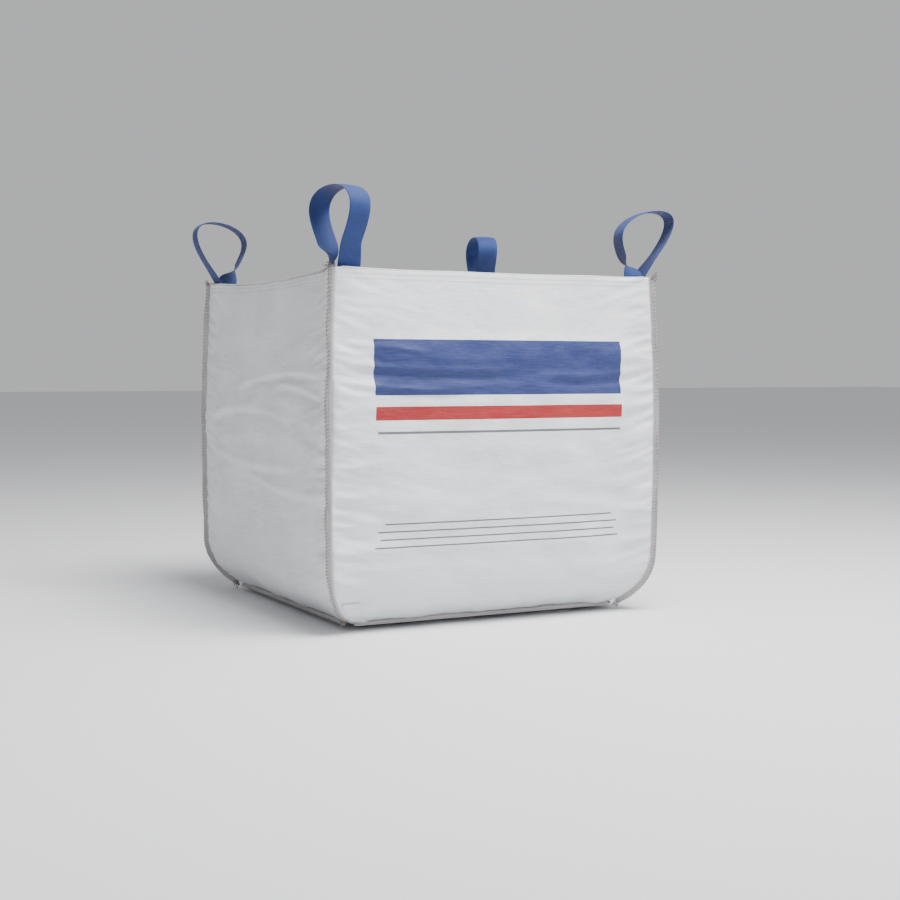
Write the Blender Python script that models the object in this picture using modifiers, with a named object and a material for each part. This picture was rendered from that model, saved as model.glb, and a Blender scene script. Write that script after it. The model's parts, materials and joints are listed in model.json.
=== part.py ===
"""Bulk bag (flexible intermediate bulk container) of woven fabric, filled, with four lifting loops.

Metres, +Z up. Origin: centre of the flat base. The front panel faces -Y.
"""

import math

import bmesh
import bpy
from mathutils import Matrix, Vector

# Driving dimensions
RIM_HALF = 0.4485  # half the side of the square mouth
RIM_HEIGHT = 0.880  # top edge of the corners above the base
SWELL = 0.012  # how far the corners move out where the fill presses hardest
SWELL_HEIGHT = 0.45
LOW_SWELL = 0.40  # share of the swell that is left at the base
BULGE = 0.020  # how far the middle of a panel stands outside its corners
BASE_RADIUS = 0.150  # rounding from the wall into the base
BASE_SEAM_DEG = 32.0  # where on that rounding the base is sewn to the walls
RIM_SAG = {"front": 0.002, "right": 0.005, "back": 0.004, "left": 0.015}

FABRIC = 0.0025  # fabric with its liner, as one shell
GAP = 0.0004  # between pieces that touch
CORNER_CLEAR = 0.004  # panel edge to the corner line
HEM_HEIGHT = 0.032
HEM_THICK = 0.0020
HEM_GAP = 0.0010
FIN_WIDTH = 0.014  # seam allowance that stands out at each corner
FIN_THICK = 0.0030
FIN_FOOT = 0.045  # height where a corner seam ends
BASE_FIN_WIDTH = 0.011
THREAD_RADIUS = 0.0010

FILL_HEIGHT = 0.690  # sand level at the walls
FILL_HEAP = 0.035  # how much higher it is in the middle
FILL_CLEAR = 0.0110

STRAP_WIDTH = 0.060
STRAP_THICK = 0.0025
TAIL_LENGTH = 0.165  # webbing sewn inside the panel, below the rim
TAIL_EDGE = 0.012  # corner line to the nearer edge of the webbing
TAIL_PROUD = 0.004
TAIL_GAP = 0.0015  # hem to webbing
FOOT_HEIGHT = 0.045  # webbing that bends when a loop tips over
FOOT_GAP = 0.0008  # under and over that webbing
# How high each loop stands above its pivot, what sets its eye's width, and how far its crown leans
LOOP_HEIGHT = {"front_right": 0.166, "back_right": 0.162, "back_left": 0.166, "front_left": 0.190}
LOOP_SPREAD = {"front_right": 0.092, "back_right": 0.114, "back_left": 0.094, "front_left": 0.114}
LOOP_LEAN = {"front_right": 0.030, "back_right": 0.0, "back_left": -0.010, "front_left": 0.0}
LOOP_LEG = 0.022
LOOP_TAPER = 2.0

SIDES = ("front", "right", "back", "left")
CORNERS = ("front_right", "back_right", "back_left", "front_left")
# Compass angle that each loop's eye looks along, from +Y towards +X
LOOP_YAW_DEG = {"front_right": 10.0, "back_right": 105.0, "back_left": 5.0, "front_left": 78.0}

FABRIC_WHITE = (0.80, 0.81, 0.83, 1.0)
SEAM_GREY = (0.62, 0.62, 0.63, 1.0)
WEBBING_BLUE = (0.045, 0.110, 0.370, 1.0)
THREAD_BROWN = (0.110, 0.085, 0.060, 1.0)
SAND_TAN = (0.480, 0.360, 0.220, 1.0)


def clear_scene():
    for obj in list(bpy.data.objects):
        bpy.data.objects.remove(obj, do_unlink=True)


def material(name, colour, roughness):
    made = bpy.data.materials.new(name)
    made.use_nodes = True
    shader = made.node_tree.nodes["Principled BSDF"]
    shader.inputs["Base Color"].default_value = colour
    shader.inputs["Roughness"].default_value = roughness
    shader.inputs["Metallic"].default_value = 0.0
    return made


def corner_half(z):
    """Half the distance between corner lines at this height, before the rounding at the base."""
    if z > SWELL_HEIGHT:
        away = (z - SWELL_HEIGHT) / (RIM_HEIGHT - SWELL_HEIGHT)
        return RIM_HALF + SWELL * (1 - away * away)
    away = (SWELL_HEIGHT - z) / SWELL_HEIGHT
    return RIM_HALF + SWELL * (1 - (1 - LOW_SWELL) * away * away)


def half_width(z):
    """Half the distance between corner lines at this height, with the rounding at the base."""
    if z >= BASE_RADIUS:
        return corner_half(z)
    sine = math.sqrt(max(0.0, 1 - (1 - z / BASE_RADIUS) ** 2))
    return corner_half(z) - BASE_RADIUS * (1 - sine)


def bulge(z):
    """How far a panel's middle stands out at this height."""
    low = seam_height()
    share = min(1.0, max(0.0, (z - low) / (RIM_HEIGHT - low)))
    return BULGE * math.sin(math.pi * share)


def seam_height():
    return BASE_RADIUS * (1 - math.cos(math.radians(BASE_SEAM_DEG)))


def wall_point(x, z, depth, sag):
    """A point of the front wall: x along it, z up, depth inwards from its outer face."""
    half = half_width(z)
    across = 1 - min(1.0, (x / half) ** 2)
    y = -(half - depth + bulge(z) * across)
    return Vector((x, y, z - sag * across * (z / RIM_HEIGHT) ** 6))


def turned(side_index):
    return Matrix.Rotation(math.radians(90 * side_index), 4, "Z")


def object_from(bm, name, finish, collection):
    mesh = bpy.data.meshes.new(name)
    bm.to_mesh(mesh)
    bm.free()
    mesh.materials.append(finish)
    obj = bpy.data.objects.new(name, mesh)
    collection.objects.link(obj)
    return obj


def sheet(name, finish, collection, place, columns, rows, thick):
    """An open grid laid out by place(u, v), each from -1 to 1, then given its thickness inwards."""
    bm = bmesh.new()
    bmesh.ops.create_grid(bm, x_segments=columns, y_segments=rows, size=1.0)
    for vert in bm.verts:
        vert.co = place(vert.co.x, vert.co.y)
    obj = object_from(bm, name, finish, collection)
    obj.data.shade_smooth()
    solid = obj.modifiers.new("Thickness", "SOLIDIFY")
    solid.thickness = thick
    solid.offset = -1.0
    return obj


def wall_height(v):
    """Height on a panel for v from -1, at the base seam, to 1, at the rim."""
    share = (v + 1) / 2
    in_arc = 5 / 16
    if share >= in_arc:
        return BASE_RADIUS + (RIM_HEIGHT - BASE_RADIUS) * (share - in_arc) / (1 - in_arc)
    start = BASE_SEAM_DEG + 0.8
    angle = math.radians(start + (90 - start) * share / in_arc)
    return BASE_RADIUS * (1 - math.cos(angle))


def make_panel(side_index, finish, collection):
    side = SIDES[side_index]

    def place(u, v):
        z = wall_height(v)
        return wall_point(u * (half_width(z) - CORNER_CLEAR), z, 0.0, RIM_SAG[side])

    obj = sheet(f"{side}_panel", finish, collection, place, 14, 16, FABRIC)
    obj.matrix_world = turned(side_index)
    return obj


def make_hem(side_index, finish, collection):
    """The top edge folded inwards: a second layer behind the panel."""
    side = SIDES[side_index]
    depth = FABRIC + HEM_GAP

    def place(u, v):
        z = RIM_HEIGHT - HEM_HEIGHT * (1 - v) / 2
        return wall_point(u * (half_width(z) - depth - 0.003), z, depth, RIM_SAG[side])

    obj = sheet(f"{side}_top_hem", finish, collection, place, 14, 2, HEM_THICK)
    obj.matrix_world = turned(side_index)
    return obj


def make_base(finish, collection):
    flat = corner_half(0.0) - BASE_RADIUS
    flat_share = 0.75
    last = math.radians(BASE_SEAM_DEG - 0.8)

    def spread(u):
        if abs(u) <= flat_share:
            return flat * u / flat_share, 0.0
        angle = last * (abs(u) - flat_share) / (1 - flat_share)
        return math.copysign(flat + BASE_RADIUS * math.sin(angle), u), angle

    def place(u, v):
        x, angle_x = spread(-u)
        y, angle_y = spread(v)
        return Vector((x, y, BASE_RADIUS * (1 - math.cos(max(angle_x, angle_y)))))

    return sheet("base_panel", finish, collection, place, 16, 16, FABRIC)


def tube(name, points, radius, finish, collection):
    curve = bpy.data.curves.new(name, "CURVE")
    curve.dimensions = "3D"
    curve.bevel_depth = radius
    curve.bevel_resolution = 2
    curve.use_fill_caps = True
    spline = curve.splines.new("POLY")
    spline.points.add(len(points) - 1)
    for at, point in zip(spline.points, points):
        at.co = (*point, 1.0)
    curve.materials.append(finish)
    obj = bpy.data.objects.new(name, curve)
    collection.objects.link(obj)
    return obj


def flat_outline(name, outline, thick, finish, collection):
    """A closed outline in the local XY plane, as thick as given along local Z."""
    curve = bpy.data.curves.new(name, "CURVE")
    curve.dimensions = "2D"
    curve.fill_mode = "BOTH"
    curve.extrude = thick / 2
    spline = curve.splines.new("POLY")
    spline.points.add(len(outline) - 1)
    spline.use_cyclic_u = True
    for at, (x, y) in zip(spline.points, outline):
        at.co = (x, y, 0.0, 1.0)
    curve.materials.append(finish)
    obj = bpy.data.objects.new(name, curve)
    collection.objects.link(obj)
    return obj


def corner_line(offset):
    """The corner's line in its own diagonal plane, as (distance from the axis, height)."""
    steps = 18
    line = []
    for i in range(steps + 1):
        z = FIN_FOOT + (RIM_HEIGHT - FIN_FOOT) * (i / steps) ** 1.6
        step = 0.001
        low = math.sqrt(2) * half_width(z - step)
        high = math.sqrt(2) * half_width(min(z + step, RIM_HEIGHT))
        along = Vector((high - low, min(z + step, RIM_HEIGHT) - z + step)).normalized()
        line.append((math.sqrt(2) * half_width(z) + offset * along.y, z - offset * along.x))
    return line


def make_corner_seam(corner_index, finish, thread, collection):
    """The seam allowance of two panels, standing out on the diagonal, and the thread over its edge."""
    corner = CORNERS[corner_index]
    outline = corner_line(-0.0015) + corner_line(FIN_WIDTH)[::-1]
    fin = flat_outline(f"{corner}_seam", outline, FIN_THICK, finish, collection)
    diagonal = Matrix.Rotation(math.radians(90 * corner_index - 45), 4, "Z")
    upright = Matrix.Rotation(math.radians(90), 4, "X")
    fin.matrix_world = diagonal @ upright
    edge = corner_line(FIN_WIDTH + GAP + THREAD_RADIUS)
    points = [Vector((distance, 0.0, z)) for distance, z in edge]
    sewn = tube(f"{corner}_seam_thread", points, THREAD_RADIUS, thread, collection)
    sewn.matrix_world = diagonal


def make_base_seam(side_index, finish, collection):
    """The seam allowance between a wall and the base, standing out square to the rounding."""
    angle = math.radians(BASE_SEAM_DEG)
    half = half_width(seam_height())
    middle = GAP + BASE_FIN_WIDTH / 2
    bm = bmesh.new()
    bmesh.ops.create_cube(bm, size=1.0)
    size = Vector((2 * (half - 0.014), FIN_THICK, BASE_FIN_WIDTH, 1.0))
    bm.transform(Matrix.Diagonal(size))
    obj = object_from(bm, f"{SIDES[side_index]}_base_seam", finish, collection)
    out = Vector((0.0, -(half + middle * math.sin(angle)), seam_height() - middle * math.cos(angle)))
    tilt = Matrix.Rotation(-angle, 4, "X")
    obj.matrix_world = turned(side_index) @ Matrix.Translation(out) @ tilt


def make_hem_thread(side_index, finish, collection):
    """The row of stitches that holds the hem, on the outer face."""
    side = SIDES[side_index]
    z = RIM_HEIGHT - HEM_HEIGHT + 0.008
    reach = half_width(z) - 0.008
    count = 14
    points = []
    for i in range(count + 1):
        x = reach * (2 * i / count - 1)
        points.append(wall_point(x, z, -GAP - THREAD_RADIUS - 0.0003, RIM_SAG[side]))
    obj = tube(f"{side}_hem_thread", points, THREAD_RADIUS, finish, collection)
    obj.matrix_world = turned(side_index)


def tail_depth():
    return FABRIC + HEM_GAP + HEM_THICK + TAIL_GAP


def tail_centre(end):
    """Middle of a tail's top edge on the front wall; end is -1 at its left corner and 1 at its right."""
    reach = RIM_HALF - TAIL_EDGE - STRAP_WIDTH / 2
    depth = tail_depth() + STRAP_THICK / 2
    return Vector((end * reach, -(RIM_HALF - depth), RIM_HEIGHT + TAIL_PROUD))


def make_tail(side_index, end, corner, finish, collection):
    """One end of a loop's webbing, sewn flat inside the panel beside the corner."""
    side = SIDES[side_index]

    def place(u, v):
        z = RIM_HEIGHT + TAIL_PROUD - TAIL_LENGTH * (1 - v) / 2
        level = min(z, RIM_HEIGHT)
        inner = half_width(level) - TAIL_EDGE - STRAP_WIDTH / 2
        x = end * inner + u * STRAP_WIDTH / 2
        return Vector((x, wall_point(x, level, tail_depth(), 0.0).y, z))

    obj = sheet(f"{corner}_loop_tail_{side}", finish, collection, place, 2, 8, STRAP_THICK)
    obj.matrix_world = turned(side_index)


def eye_direction(corner):
    yaw = math.radians(LOOP_YAW_DEG[corner])
    return Vector((math.sin(yaw), math.cos(yaw), 0.0))


def loop_pivot(corner_index):
    """The point between the two tails, at the rim, that the loop tips about."""
    right_end = tail_centre(1)
    left_end = turned(1) @ tail_centre(-1)
    pivot = turned(corner_index) @ ((right_end + left_end) / 2)
    return pivot


def loop_centre_line(corner, count):
    """The free loop's middle line as (across, up, across step, up step) above its pivot."""
    first = 2 * math.asin(math.sqrt(FOOT_HEIGHT / LOOP_HEIGHT[corner]))
    line = []
    for i in range(count + 1):
        turn = first + (2 * math.pi - 2 * first) * i / count
        line.append(loop_point(corner, turn) + loop_direction(corner, turn))
    return line


def loop_point(corner, turn):
    half_sine = math.sin(turn / 2)
    across = LOOP_SPREAD[corner] * math.sin(turn) * half_sine**LOOP_TAPER
    across += LOOP_LEG * math.cos(turn / 2)
    across += LOOP_LEAN[corner] * half_sine**4
    return across, LOOP_HEIGHT[corner] * half_sine**2


def loop_direction(corner, turn):
    step = 0.001
    ahead = loop_point(corner, turn + step)
    behind = loop_point(corner, turn - step)
    along = Vector((ahead[0] - behind[0], ahead[1] - behind[1])).normalized()
    return along.x, along.y


def make_loop(corner_index, finish, collection):
    """The free webbing loop, its origin on the line that it tips about."""
    corner = CORNERS[corner_index]
    line = loop_centre_line(corner, 36)
    half = STRAP_THICK / 2
    outer = [(a - dz * half, z + da * half) for a, z, da, dz in line]
    inner = [(a + dz * half, z - da * half) for a, z, da, dz in line]
    outline = outer + inner[::-1]
    obj = flat_outline(f"{corner}_lifting_loop", outline, STRAP_WIDTH, finish, collection)
    eye = eye_direction(corner)
    across = Vector((eye.y, -eye.x, 0.0))
    up = Vector((0.0, 0.0, 1.0))
    basis = Matrix((across, up, across.cross(up))).transposed().to_4x4()
    obj.matrix_world = Matrix.Translation(loop_pivot(corner_index)) @ basis
    return obj


def make_foot(corner_index, side_index, end, leg, finish, collection):
    """The webbing between a sewn tail and the free loop: it twists from one to the other."""
    corner = CORNERS[corner_index]
    eye = eye_direction(corner)
    across = Vector((eye.y, -eye.x, 0.0))
    tail = turned(side_index) @ tail_centre(end)
    wide_low = turned(side_index) @ Vector((1.0, 0.0, 0.0))
    if wide_low.dot(eye) < 0:
        wide_low = -wide_low
    pivot = loop_pivot(corner_index)
    first = loop_centre_line(corner, 36)[0 if leg > 0 else -1]
    top = pivot + across * first[0] + Vector((0.0, 0.0, first[1]))
    sections = []
    steps = 5
    for i in range(steps + 1):
        share = i / steps
        eased = share * share * (3 - 2 * share)
        centre = tail.lerp(top, share)
        centre.z = tail.z + FOOT_GAP + (top.z - 3 * FOOT_GAP - tail.z) * share
        wide = wide_low.lerp(eye, eased).normalized()
        thin = wide.cross(Vector((0.0, 0.0, 1.0)))
        a = wide * STRAP_WIDTH / 2
        b = thin * STRAP_THICK / 2
        sections.append([centre - a - b, centre + a - b, centre + a + b, centre - a + b])
    bm = bmesh.new()
    rings = [[bm.verts.new(point) for point in section] for section in sections]
    for low, high in zip(rings, rings[1:]):
        for i in range(4):
            j = (i + 1) % 4
            bm.faces.new((low[i], low[j], high[j], high[i]))
    bm.faces.new(rings[0][::-1])
    bm.faces.new(rings[-1])
    bmesh.ops.recalc_face_normals(bm, faces=bm.faces)
    object_from(bm, f"{corner}_loop_foot_{SIDES[side_index]}", finish, collection)


def fill_ring(half, middle_out, z, rise):
    """One square ring of the fill, its sides bowed out, as points in order round it."""
    per_side = 8
    points = []
    for side_index in range(4):
        turn = turned(side_index)
        for i in range(per_side):
            u = 2 * i / per_side - 1
            bow = middle_out * (1 - u * u)
            points.append(turn @ Vector((u * half, -(half + bow), z + rise)))
    return points


def make_fill(finish, collection):
    """The sand: it lies against the walls and the base, and is heaped a little in the middle."""
    radius = BASE_RADIUS - FILL_CLEAR
    rings = []
    for i in range(6):
        angle = math.radians(18 * i)
        z = BASE_RADIUS - radius * math.cos(angle)
        half = corner_half(z) - BASE_RADIUS + radius * math.sin(angle)
        rings.append(fill_ring(half, bulge(z) * math.sin(angle), z, 0.0))
    levels = 8
    for i in range(1, levels + 1):
        z = BASE_RADIUS + (FILL_HEIGHT - BASE_RADIUS) * i / levels
        rings.append(fill_ring(corner_half(z) - FILL_CLEAR, bulge(z), z, 0.0))
    edge = corner_half(FILL_HEIGHT) - FILL_CLEAR
    for share in (0.93, 0.8, 0.6, 0.4, 0.2):
        rise = FILL_HEAP * (1 - share * share)
        rings.append(fill_ring(edge * share, bulge(FILL_HEIGHT) * share, FILL_HEIGHT, rise))
    bm = bmesh.new()
    laid = [[bm.verts.new(point) for point in ring] for ring in rings]
    for low, high in zip(laid, laid[1:]):
        for i in range(len(low)):
            j = (i + 1) % len(low)
            bm.faces.new((low[i], low[j], high[j], high[i]))
    bottom = bm.verts.new((0.0, 0.0, FILL_CLEAR))
    top = bm.verts.new((0.0, 0.0, FILL_HEIGHT + FILL_HEAP))
    for i in range(len(laid[0])):
        j = (i + 1) % len(laid[0])
        bm.faces.new((laid[0][j], laid[0][i], bottom))
        bm.faces.new((laid[-1][i], laid[-1][j], top))
    obj = object_from(bm, "sand_fill", finish, collection)
    obj.data.shade_smooth()


def main():
    clear_scene()
    collection = bpy.data.collections.new("bulk_bag")
    bpy.context.scene.collection.children.link(collection)
    fabric = material("woven_fabric", FABRIC_WHITE, 0.62)
    seam = material("seam_fabric", SEAM_GREY, 0.75)
    webbing = material("webbing", WEBBING_BLUE, 0.60)
    thread = material("thread", THREAD_BROWN, 0.80)
    sand = material("sand", SAND_TAN, 0.95)

    make_base(fabric, collection)
    make_fill(sand, collection)
    for index in range(4):
        make_panel(index, fabric, collection)
        make_hem(index, fabric, collection)
        make_hem_thread(index, thread, collection)
        make_base_seam(index, seam, collection)
        make_corner_seam(index, seam, thread, collection)
        corner = CORNERS[index]
        following = (index + 1) % 4
        make_tail(index, 1, corner, webbing, collection)
        make_tail(following, -1, corner, webbing, collection)
        make_loop(index, webbing, collection)
        for side_index, end in ((index, 1), (following, -1)):
            tail = turned(side_index) @ tail_centre(end)
            eye = eye_direction(corner)
            offset = (tail - loop_pivot(index)).dot(Vector((eye.y, -eye.x, 0.0)))
            make_foot(index, side_index, end, offset, webbing, collection)


main()
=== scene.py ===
"""Looks of the filled bulk bag: woven panels, sewn seams, webbing loops and sand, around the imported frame."""

import json
import math

import bpy
import numpy as np
from mathutils import Matrix, Vector


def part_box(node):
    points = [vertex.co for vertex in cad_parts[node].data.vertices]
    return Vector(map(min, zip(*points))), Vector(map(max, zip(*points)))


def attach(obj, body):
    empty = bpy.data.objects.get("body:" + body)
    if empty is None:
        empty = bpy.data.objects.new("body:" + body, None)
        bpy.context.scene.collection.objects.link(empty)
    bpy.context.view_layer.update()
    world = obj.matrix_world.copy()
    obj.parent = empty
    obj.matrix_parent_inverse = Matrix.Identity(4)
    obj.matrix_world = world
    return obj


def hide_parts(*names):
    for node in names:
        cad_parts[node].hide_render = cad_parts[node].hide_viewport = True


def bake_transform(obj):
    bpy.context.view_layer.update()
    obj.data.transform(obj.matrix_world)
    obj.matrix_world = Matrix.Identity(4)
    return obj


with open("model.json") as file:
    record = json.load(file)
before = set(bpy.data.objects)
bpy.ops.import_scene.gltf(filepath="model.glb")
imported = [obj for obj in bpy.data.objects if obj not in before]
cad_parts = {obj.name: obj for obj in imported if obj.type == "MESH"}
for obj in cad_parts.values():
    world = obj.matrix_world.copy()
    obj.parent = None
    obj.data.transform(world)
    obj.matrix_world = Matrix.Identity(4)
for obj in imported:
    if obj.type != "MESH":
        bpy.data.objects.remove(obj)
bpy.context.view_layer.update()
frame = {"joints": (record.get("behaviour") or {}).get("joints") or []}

# The bag's design, in metres, as the frame has it
RIM_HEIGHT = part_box("front_panel")[1].z
RIM_HALF = 0.4485
SWELL = 0.012
SWELL_HEIGHT = 0.45
LOW_SWELL = 0.40
BULGE = 0.020
BASE_RADIUS = 0.150
BASE_SEAM = math.radians(32)
RIM_SAG = {"front": 0.002, "right": 0.005, "back": 0.004, "left": 0.015}
FILL_HEIGHT = 0.690
FILL_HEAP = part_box("sand_fill")[1].z - FILL_HEIGHT
FIN_WIDTH = 0.014
FIN_FOOT = 0.027
HEM_HEIGHT = 0.032
HEM_LENGTH = 0.88
STRAP_WIDTH = 0.060
STRAP_THICK = 0.0022
TAIL_LENGTH = 0.165
TAIL_EDGE = 0.012
TAIL_DEPTH = 0.0070
FOOT_HEIGHT = 0.045
LOOP_HEIGHT = {"front_right": 0.166, "back_right": 0.162, "back_left": 0.166, "front_left": 0.190}
LOOP_SPREAD = {"front_right": 0.092, "back_right": 0.114, "back_left": 0.094, "front_left": 0.114}
LOOP_LEAN = {"front_right": 0.042, "back_right": 0.0, "back_left": -0.014, "front_left": 0.0}
LOOP_LEG = 0.022

SIDES = ("front", "right", "back", "left")
CORNERS = ("front_right", "back_right", "back_left", "front_left")
LOOP_YAW_DEG = {"front_right": 10.0, "back_right": 105.0, "back_left": 5.0, "front_left": 78.0}
# How far each loop's crown leans over, as a slope across its eye
LOOP_SKEW = {"front_right": 0.10, "back_right": 0.05, "back_left": -0.12, "front_left": 0.03}

# How far each corner's seam allowance is folded over, towards the panel anticlockwise of it
FIN_FOLD_DEG = {"front_right": -12.0, "back_right": 20.0, "back_left": 14.0, "front_left": -78.0}

CLOTH = 0.0012  # thickness of the fabric as shown
BLOCK = 150  # grid steps along each way of a wall panel

FIN_LAYERS = 0.0022  # both panels' cut edges together
BASE_FIN_WIDTH = 0.0108
BASE_FIN_THICK = 0.0020
FIN_ROOT = 0.0012  # how far a corner's seam allowance starts inside the corner line
OVERLOCK_PITCH = 0.0085
HEM_OVERLOCK_PITCH = 0.0075
TURN_STEPS = 8  # points in each turn of an overlock thread
TAIL_ROWS = 60  # rows of webbing along a sewn end
STRAP_COLUMNS = 25
BOX_STITCH = {"pitch": 0.0075, "share": 0.6, "radius": 0.0006}
BOX_REACH = 0.8  # share of the webbing's width inside the box of stitches


# ---------------------------------------------------------------- shape of the bag

def corner_half(z):
    high = 1 - ((z - SWELL_HEIGHT) / (RIM_HEIGHT - SWELL_HEIGHT)) ** 2
    low = 1 - (1 - LOW_SWELL) * ((SWELL_HEIGHT - z) / SWELL_HEIGHT) ** 2
    return RIM_HALF + SWELL * np.where(z > SWELL_HEIGHT, high, low)


def half_width(z):
    rounded = np.clip(1 - z / BASE_RADIUS, 0, 1)
    return corner_half(z) - BASE_RADIUS * (1 - np.sqrt(1 - rounded * rounded))


def bulge(z):
    low = BASE_RADIUS * (1 - math.cos(BASE_SEAM))
    return BULGE * np.sin(math.pi * np.clip((z - low) / (RIM_HEIGHT - low), 0, 1))


def wall_points(x, z, depth, sag):
    """Points of the front wall as an array (..., 3): x along it, z up, depth inwards."""
    half = half_width(z)
    across = 1 - np.clip(x / half, -1, 1) ** 2
    y = -(half - depth + bulge(z) * across)
    return np.stack([x, y, z - sag * across * (z / RIM_HEIGHT) ** 6], axis=-1)


def turned(points, quarter_turns):
    """The same points on another side of the bag."""
    for _ in range(quarter_turns % 4):
        points = np.stack([-points[..., 1], points[..., 0], points[..., 2]], axis=-1)
    return points


def smooth(low, high, value):
    t = np.clip((value - low) / (high - low), 0, 1)
    return t * t * (3 - 2 * t)


def noise(x, y, seed):
    """Smooth noise from -1 to 1, about one bump per unit."""
    table = np.random.default_rng(seed).uniform(0, 2 * math.pi, (64, 64))
    x0, y0 = np.floor(x).astype(int), np.floor(y).astype(int)
    fx, fy = x - x0, y - y0
    sx, sy = fx * fx * fx * (fx * (6 * fx - 15) + 10), fy * fy * fy * (fy * (6 * fy - 15) + 10)

    def corner(i, j):
        angle = table[(x0 + i) % 64, (y0 + j) % 64]
        return np.cos(angle) * (fx - i) + np.sin(angle) * (fy - j)

    low = corner(0, 0) * (1 - sx) + corner(1, 0) * sx
    high = corner(0, 1) * (1 - sx) + corner(1, 1) * sx
    return 1.5 * (low * (1 - sy) + high * sy)


def ridges(x, y, seed):
    """Noise with narrow crests, as folds have, from about -0.5 to 0.5."""
    return 0.5 - np.abs(noise(x, y, seed)) ** 0.8


# ---------------------------------------------------------------- meshes

def mesh_piece(name, points, faces, finish, smooth_shaded=True):
    mesh = bpy.data.meshes.new(name)
    mesh.from_pydata(points.tolist() if hasattr(points, "tolist") else points, [], faces)
    mesh.update()
    mesh.polygons.foreach_set("use_smooth", [smooth_shaded] * len(mesh.polygons))
    mesh.materials.append(finish)
    obj = bpy.data.objects.new(name, mesh)
    bpy.context.scene.collection.objects.link(obj)
    return obj


def cloth_coordinates(obj, values):
    """Stores where each point lies on its flat cloth, in metres, for the weave."""
    attribute = obj.data.attributes.new("cloth", "FLOAT_VECTOR", "POINT")
    attribute.data.foreach_set("vector", np.ascontiguousarray(values, np.float32).ravel())


def grid_normals(points):
    along = np.gradient(points, axis=1)
    up = np.gradient(points, axis=0)
    normal = np.cross(along, up)
    return normal / np.maximum(np.linalg.norm(normal, axis=-1, keepdims=True), 1e-12)


def shell(name, points, flat, thick, finish):
    """A closed thin sheet from a grid of outer points; flat holds each point's place on the cloth."""
    rows, columns = points.shape[:2]
    inner = points - grid_normals(points) * thick
    count = rows * columns
    index = np.arange(count).reshape(rows, columns)
    a, b = index[:-1, :-1], index[:-1, 1:]
    c, d = index[1:, 1:], index[1:, :-1]
    outside = np.stack([a, b, c, d], axis=-1).reshape(-1, 4)
    inside = outside[:, ::-1] + count
    border = np.concatenate([index[0, :-1], index[:-1, -1], index[-1, :0:-1], index[:0:-1, 0]])
    ahead = np.roll(border, -1)
    rim = np.stack([border, border + count, ahead + count, ahead], axis=-1)
    faces = np.concatenate([outside, inside, rim]).tolist()
    both = np.concatenate([points.reshape(-1, 3), inner.reshape(-1, 3)])
    obj = mesh_piece(name, both, faces, finish)
    places = np.tile(flat.reshape(-1, 3), (2, 1))
    places[count:, 2] = 1.0  # marks the inner face
    cloth_coordinates(obj, places)
    return obj


def tube_rings(path, radius, sides):
    """Points and faces of a capped round tube along a path, as arrays."""
    path = np.asarray(path, float)
    along = np.gradient(path, axis=0)
    along /= np.linalg.norm(along, axis=1, keepdims=True)
    guide = np.array([0.31, 0.47, 0.83])
    first = np.cross(along, guide)
    first /= np.linalg.norm(first, axis=1, keepdims=True)
    second = np.cross(along, first)
    angles = np.arange(sides) * 2 * math.pi / sides
    ring = np.cos(angles)[None, :, None] * first[:, None] + np.sin(angles)[None, :, None] * second[:, None]
    points = (path[:, None] + radius * ring).reshape(-1, 3)
    index = np.arange(len(path) * sides).reshape(len(path), sides)
    a, b = index[:-1], np.roll(index[:-1], -1, axis=1)
    c, d = np.roll(index[1:], -1, axis=1), index[1:]
    faces = np.stack([a, b, c, d], axis=-1).reshape(-1, 4).tolist()
    faces.append(index[0, ::-1].tolist())
    faces.append(index[-1].tolist())
    return points, faces


def joined(parts):
    """Several (points, faces) as one."""
    points, faces, start = [], [], 0
    for part_points, part_faces in parts:
        points.append(part_points)
        faces.extend([[i + start for i in face] for face in part_faces])
        start += len(part_points)
    return np.concatenate(points), faces


def finer(values, count):
    """A path's values at count evenly spaced places along it."""
    old = np.linspace(0, 1, len(values))
    new = np.linspace(0, 1, count)
    return np.stack([np.interp(new, old, values[:, i]) for i in range(3)], axis=-1)


def stitches(path, normals, pitch, share, radius):
    """Separate stitches along a path: each rises out of the cloth and sinks back into it."""
    path = np.asarray(path, float)
    steps = np.linalg.norm(np.diff(path, axis=0), axis=1)
    at = np.concatenate([[0], np.cumsum(steps)])
    parts = []
    for k in range(int(at[-1] / pitch)):
        reach = np.linspace((k + 0.1) * pitch, (k + 0.1 + share) * pitch, 5)
        centre = np.stack([np.interp(reach, at, path[:, i]) for i in range(3)], axis=-1)
        out = np.stack([np.interp(reach, at, normals[:, i]) for i in range(3)], axis=-1)
        lift = radius * np.array([-0.6, 0.5, 0.8, 0.5, -0.6])
        parts.append(tube_rings(centre + out * lift[:, None], radius, 6))
    return joined(parts)


def on_bag(*pieces):
    """Puts pieces on the bag's body, hiding the node that each replaces, if any; each piece's slot is not used.
    """
    for piece, slot, node in pieces:
        if node:
            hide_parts(node)
        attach(piece, "bag")


# ---------------------------------------------------------------- materials

def node_material(name, colour, roughness, sheen=0.0, specular=0.5):
    made = bpy.data.materials.new(name)
    made.use_nodes = True
    tree = made.node_tree
    shader = tree.nodes["Principled BSDF"]
    shader.inputs["Base Color"].default_value = (*colour, 1.0)
    shader.inputs["Roughness"].default_value = roughness
    shader.inputs["Sheen Weight"].default_value = sheen
    shader.inputs["Specular IOR Level"].default_value = specular
    return made, tree, shader


def add_node(tree, kind, settings=None, **inputs):
    node = tree.nodes.new(kind)
    for key, value in (settings or {}).items():
        setattr(node, key, value)
    for key, value in inputs.items():
        name = key.replace("_", " ")
        if isinstance(value, bpy.types.NodeSocket):
            tree.links.new(value, node.inputs[name])
        else:
            node.inputs[name].default_value = value
    return node


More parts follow.
